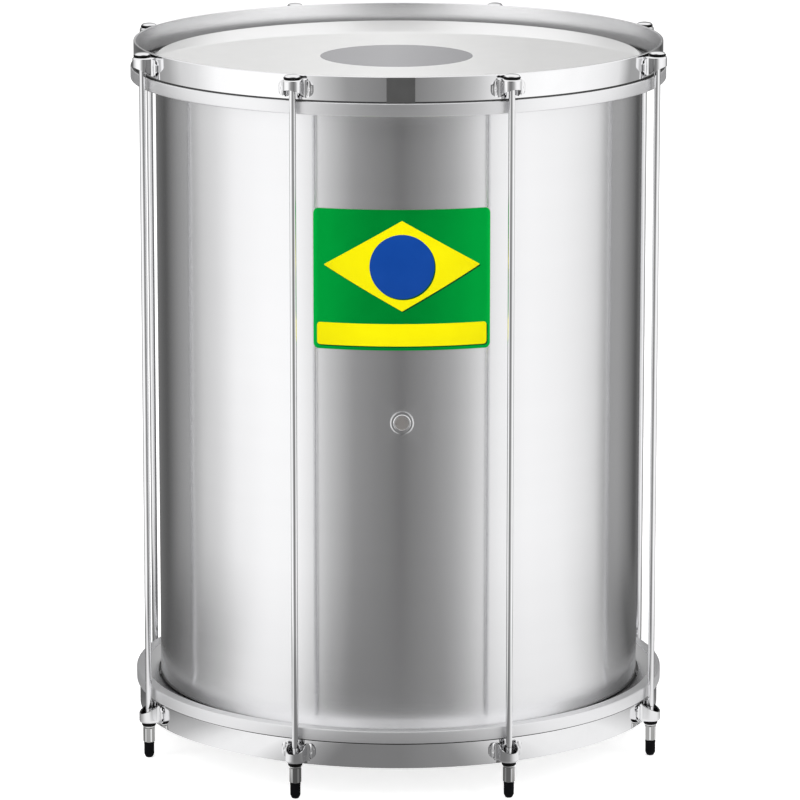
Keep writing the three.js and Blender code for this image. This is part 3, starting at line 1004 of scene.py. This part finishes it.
def build():
    badge()
    piece("shell_body", shell_mesh(), FINISHES["shell"], "drum", "shell")
    piece("vent_ring", vent_mesh(), FINISHES["chrome"], "drum", "vent_eyelet")
    head = head_profile()
    batter = turned("batter_film", head, loop=False)
    resonant = turned("resonant_film", lower(head), loop=False)
    piece("batter_film", batter, FINISHES["film"], "drum", "batter_head")
    piece("resonant_film", resonant, FINISHES["under_film"], "drum", "resonant_head")
    printed = turned("batter_print", print_profile(), loop=False)
    printed.transform(Matrix.Translation((PRINT_SHIFT[0] * MM, PRINT_SHIFT[1] * MM, 0)))
    piece("batter_print", printed, FINISHES["print"], "drum")
    upper = turned("flesh_hoop_upper", channel_profile())
    under = turned("flesh_hoop_lower", lower(channel_profile()))
    piece("flesh_hoop_upper", upper, FINISHES["channel"], "drum", "top_flesh_hoop")
    piece("flesh_hoop_lower", under, FINISHES["low_channel"], "drum",
          "bottom_flesh_hoop")
    plain = turned("counterhoop_lower", lower(hoop_profile()))
    hoop = turned("counterhoop_upper", hoop_profile())
    piece("counterhoop_upper", hoop, FINISHES["hoop"], "drum", "top_hoop")
    piece("counterhoop_lap", lap_mesh(), FINISHES["lap"], "drum", "top_hoop")
    piece("counterhoop_lower", plain, FINISHES["hoop"], "drum", "bottom_hoop")

    lug, rod, nut, tip = lug_mesh(), rod_mesh(), nut_mesh(), tip_mesh()
    head_washer = washer_mesh("head_washer", **HEAD_WASHER)
    foot_washer = washer_mesh("foot_washer_ring", **FOOT_WASHER)
    foot_washer_base = -WASHER_BASE - FOOT_WASHER["thickness"]
    for i in range(SPOKES):
        number = i + 1
        spoke = Matrix.Rotation(spoke_angle(i), 4, "Z")
        flipped = spoke @ Matrix.Rotation(pi, 4, "X")
        axis = spoke @ Matrix.Translation((ROD_CIRCLE * MM, 0, 0))
        top, bottom, feet = f"top_lug_{number}", f"bottom_lug_{number}", f"foot_{number}"
        piece(f"lug_upper_{number}", lug, FINISHES["lug"], "drum", top, spoke)
        piece(f"lug_lower_{number}", lug, FINISHES["lug"], "drum", bottom, flipped)
        piece(f"rod_{number}", rod, FINISHES["chrome"], "drum",
              f"tension_rod_{number}", axis)
        piece(f"head_washer_{number}", head_washer, FINISHES["washer"], "drum",
              place=axis @ shift(WASHER_BASE))
        piece(f"foot_washer_ring_{number}", foot_washer, FINISHES["washer"], f"washer_{number}",
              f"foot_washer_{number}", axis @ shift(foot_washer_base))
        turned_by = Matrix.Rotation(radians(NUT_TURNS[i]), 4, "Z")
        piece(f"hex_nut_{number}", nut, FINISHES["nickel"], feet,
              f"foot_nut_{number}", axis @ shift(-NUT_BASE) @ turned_by)
        piece(f"rubber_tip_{number}", tip, FINISHES["rubber"], feet,
              f"foot_tip_{number}", axis @ shift(-TIP_BASE))


build()


# Studio, in metres

FLOOR_SIZE = 60.0
FLOOR_DROP = 0.0002
FLOOR_COLOUR = 0.88
FLOOR_MOTTLE = 0.02
FLOOR_GLOW = 0.65
WORLD_LIGHT = 0.62
CARD_RADIUS = 0.62
CARD_TOP = 0.95
CARD_HOLE = 0.05
CARD_FLOOR = 0.0015
FLOOR_SPLIT = (0.002, 0.06)
CARD_SPLIT = (0.675, 0.70)
CARD_PEAK = 1.25
CARD_SIDES = 128

# Brightness of the cards below and above the drum's top and on the floor, by the angle from
# the front in degrees, counted to the right
LOW_CARDS = [
    (-180, 0.5), (-152, 0.2), (-125, 0.09), (-110, 0.3), (-98, 0.42), (-90, 0.68),
    (-80, 0.81), (-70, 1.06), (-55, 1.13), (-42, 1.11), (-34, 0.88), (-29, 0.62),
    (-18, 0.32), (-10, 0.26), (-4, 0.22), (0, 0.18), (5, 0.23), (12, 0.30), (20, 0.41),
    (26, 0.56), (32, 0.80), (40, 1.0), (52, 1.07), (68, 1.02), (80, 0.93), (90, 0.81),
    (98, 0.36), (110, 0.38), (122, 0.23), (135, 0.07), (154, 0.2), (180, 0.5),
]
HIGH_CARDS = [
    (-180, 0.71), (-167, 0.54), (-155, 0.48), (-140, 0.25), (-125, 0.3), (-110, 0.62),
    (-95, 0.88), (-80, 0.96), (-60, 1.0), (-40, 0.99), (-30, 0.84), (-20, 0.42), (-12, 0.18),
    (0, 0.06), (12, 0.18), (20, 0.42), (30, 0.84), (40, 0.99), (60, 1.0), (80, 1.0),
    (95, 0.98), (110, 0.76), (125, 0.3), (140, 0.25), (155, 0.28), (166, 0.34), (180, 0.71),
]
FLOOR_CARDS = [
    (-180, 0.3), (-155, 0.2), (-125, 0.1), (-110, 0.12), (-90, 0.25), (-72, 0.5),
    (-60, 0.84), (-53, 0.93), (-42, 0.92), (-33, 0.6), (-27, 0.34), (-19, 0.2), (0, 0.2),
    (16, 0.27), (24, 0.44), (32, 0.7), (42, 0.88), (53, 0.92), (70, 0.9), (85, 0.62),
    (100, 0.28), (120, 0.1), (155, 0.2), (180, 0.3),
]


def seen_directly(tree):
    """1 for camera, glossy and transmission rays, and 0 for the rest."""
    path = add(tree, "ShaderNodeLightPath").outputs
    glossy = maths(tree, "MAXIMUM", path["Is Camera Ray"], path["Is Glossy Ray"])
    return maths(tree, "MAXIMUM", glossy, path["Is Transmission Ray"])


def make_world():
    world = bpy.data.worlds.new("studio")
    bpy.context.scene.world = world
    world.use_nodes = True
    tree = world.node_tree
    level = add(tree, "ShaderNodeMapRange", {
        "Value": seen_directly(tree), "To Min": WORLD_LIGHT, "To Max": 1.0}).outputs[0]
    back = tree.nodes["Background"]
    back.inputs["Color"].default_value = (1, 1, 1, 1)
    tree.links.new(level, back.inputs["Strength"])


def make_floor():
    bm = bmesh.new()
    bmesh.ops.create_grid(bm, x_segments=8, y_segments=8, size=FLOOR_SIZE / 2 / MM)
    mesh = mesh_of("floor", bm)
    floor = bpy.data.objects.new("floor", mesh)
    floor.location.z = -FLOOR_DROP
    bpy.context.scene.collection.objects.link(floor)
    material, tree, shader = finish("floor", Roughness=1.0, Specular_IOR_Level=0.0)
    mottle = grain(tree, (2.0, 2.0, 2.0))
    colour = tint(tree, mottle, grey(FLOOR_COLOUR), grey(FLOOR_COLOUR + FLOOR_MOTTLE))
    glow = maths(tree, "MULTIPLY", seen_directly(tree), FLOOR_GLOW)
    shader.inputs["Emission Color"].default_value = (1, 1, 1, 1)
    link(tree, shader, Base_Color=colour, Emission_Strength=glow)
    mesh.materials.append(material)


def light_ramp(tree, share, levels):
    """Light by the share of a turn round the drum, from behind it on the left."""
    ramp = add(tree, "ShaderNodeValToRGB", {"Fac": share})
    stops = ramp.color_ramp.elements
    while len(stops) > 1:
        stops.remove(stops[0])
    for k, (at, level) in enumerate(levels):
        position = at / 360 + 0.5
        stop = stops[0] if k == 0 else stops.new(position)
        stop.position = position
        stop.color = (level / CARD_PEAK,) * 3 + (1,)
    return ramp.outputs["Color"]


def blend(tree, share, one, two):
    """The first colour where the share is 0 and the second where it is 1."""
    return add(tree, "ShaderNodeMix", {"Factor": share, 6: one, 7: two},
               data_type="RGBA").outputs[2]


def card_material():
    """Light by the angle round the drum, with bands on the floor and above the drum's top."""
    material = bpy.data.materials.new("studio_cards")
    material.use_nodes = True
    tree = material.node_tree
    tree.nodes.clear()
    split = position(tree)
    angle = maths(tree, "ARCTAN2", split["X"], maths(tree, "MULTIPLY", split["Y"], -1.0))
    share = maths(tree, "MULTIPLY_ADD", angle, 1 / tau, 0.5)
    low, high, floor = (light_ramp(tree, share, cards)
                        for cards in (LOW_CARDS, HIGH_CARDS, FLOOR_CARDS))
    low = blend(tree, step_up(tree, split["Z"], *FLOOR_SPLIT), floor, low)
    mixed = blend(tree, step_up(tree, split["Z"], *CARD_SPLIT), low, high)
    light = add(tree, "ShaderNodeEmission", {"Color": mixed, "Strength": CARD_PEAK})
    output = add(tree, "ShaderNodeOutputMaterial")
    tree.links.new(light.outputs[0], output.inputs["Surface"])
    return material


def make_cards():
    """Reflector cards round the drum and on the floor, seen only in reflections."""
    bm = bmesh.new()
    angles = [tau * i / CARD_SIDES - pi for i in range(CARD_SIDES)]

    def ring(radius, height):
        return [bm.verts.new((radius * sin(a) / MM, -radius * cos(a) / MM, height / MM))
                for a in angles]

    join_rings(bm, [
        ring(CARD_HOLE, CARD_FLOOR),
        ring(CARD_RADIUS, CARD_FLOOR),
        ring(CARD_RADIUS, CARD_TOP),
    ])
    mesh = mesh_of("studio_cards", bm)
    cards = bpy.data.objects.new("studio_cards", mesh)
    bpy.context.scene.collection.objects.link(cards)
    mesh.materials.append(card_material())
    cards.visible_camera = False
    cards.visible_diffuse = False
    cards.visible_transmission = False
    cards.visible_shadow = False


def soft_lamp(name, place, size, watts, colour=(1.0, 1.0, 1.0), glossy=False):
    """A rectangular lamp that points at the drum. Reflections show it only where glossy is set."""
    light = bpy.data.lights.new(name, "AREA")
    light.shape = "RECTANGLE"
    light.size, light.size_y = size
    light.energy = watts
    light.color = colour
    lamp = bpy.data.objects.new(name, light)
    lamp.location = place
    aim = Vector(LAMP_AIM) - Vector(place)
    lamp.rotation_euler = aim.to_track_quat("-Z", "Y").to_euler()
    lamp.visible_glossy = glossy
    bpy.context.scene.collection.objects.link(lamp)


# Name, place, size and watts of each lamp
LAMP_AIM = (0, 0, 0.35)
LAMPS = [
    ("overhead", (0.0, -0.6, 3.2), (3.0, 3.0), 50),
    ("side_left", (-2.6, -1.6, 1.8), (1.6, 2.4), 22),
    ("side_right", (2.6, -1.6, 1.8), (1.6, 2.4), 22),
]
# The light that the film lets into the drum, which the vent shows
INSIDE_LAMP = ("inside", (0.0, 0.0, 0.6), (0.3, 0.3), 0.36)
INSIDE_COLOUR = (1.0, 0.94, 0.88)

make_world()
make_floor()
make_cards()
for lamp_values in LAMPS:
    soft_lamp(*lamp_values)
soft_lamp(*INSIDE_LAMP, colour=INSIDE_COLOUR, glossy=True)


# Camera: the photograph's place and lens

CAMERA_DISTANCE = 4.8178
CAMERA_HEIGHT = 1.3576
CAMERA_PITCH = radians(12.11)
CAMERA_TURN = radians(0.83)
CAMERA_SIDESTEP = 0.0015
SENSOR = 36.0
FOCAL_PIXELS = 5164.9
IMAGE_SIDE = 800

lens = bpy.data.cameras.new("camera")
lens.sensor_width = SENSOR
lens.lens = FOCAL_PIXELS / IMAGE_SIDE * SENSOR
camera = bpy.data.objects.new("camera", lens)
camera.location = (
    -CAMERA_DISTANCE * sin(CAMERA_TURN) + CAMERA_SIDESTEP * cos(CAMERA_TURN),
    -CAMERA_DISTANCE * cos(CAMERA_TURN) - CAMERA_SIDESTEP * sin(CAMERA_TURN),
    CAMERA_HEIGHT,
)
camera.rotation_euler = (pi / 2 - CAMERA_PITCH, 0, -CAMERA_TURN)
bpy.context.scene.collection.objects.link(camera)
bpy.context.scene.camera = camera
bpy.context.scene.view_settings.view_transform = "Standard"
